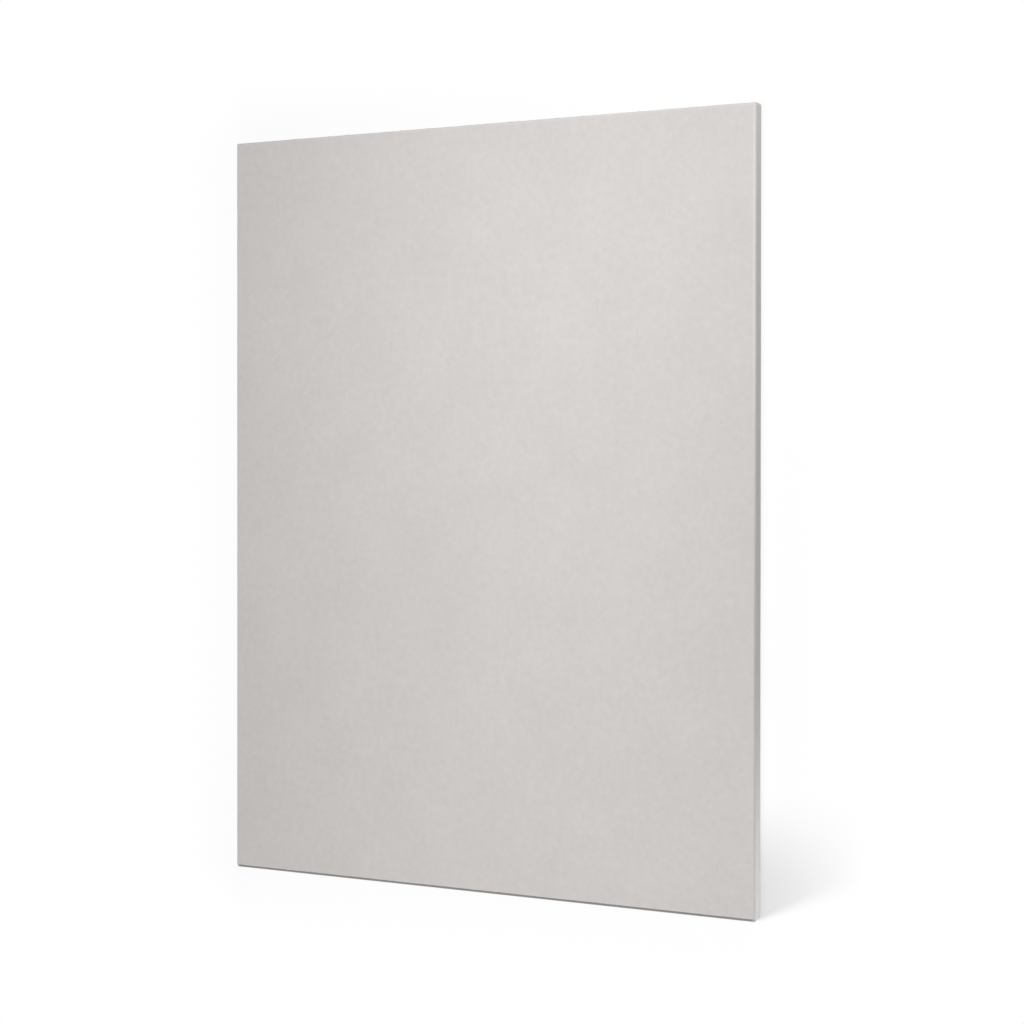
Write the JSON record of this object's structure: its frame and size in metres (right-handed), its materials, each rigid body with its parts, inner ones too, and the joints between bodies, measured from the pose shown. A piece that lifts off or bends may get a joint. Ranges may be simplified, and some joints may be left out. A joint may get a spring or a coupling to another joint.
{
  "type": "drywall sheet",
  "caption": "Flat rectangular drywall sheet with paper folded round its long edges, a lapped paper back and square-cut ends; lines or patches walls and ceilings.",
  "frame": {"origin": "centre of the back, on the plane of the back paper that the sheet lies on", "axes": "+Z from the back to the finished face, +Y along the paper-wrapped long edges, +X across the sheet"},
  "size_m": [0.4572, 0.6096, 0.0127],
  "materials": {
    "facing_paper": "matte"
  },
  "bodies": {
    "root": {"drywall_sheet": "facing_paper"}
  },
  "joints": []
}
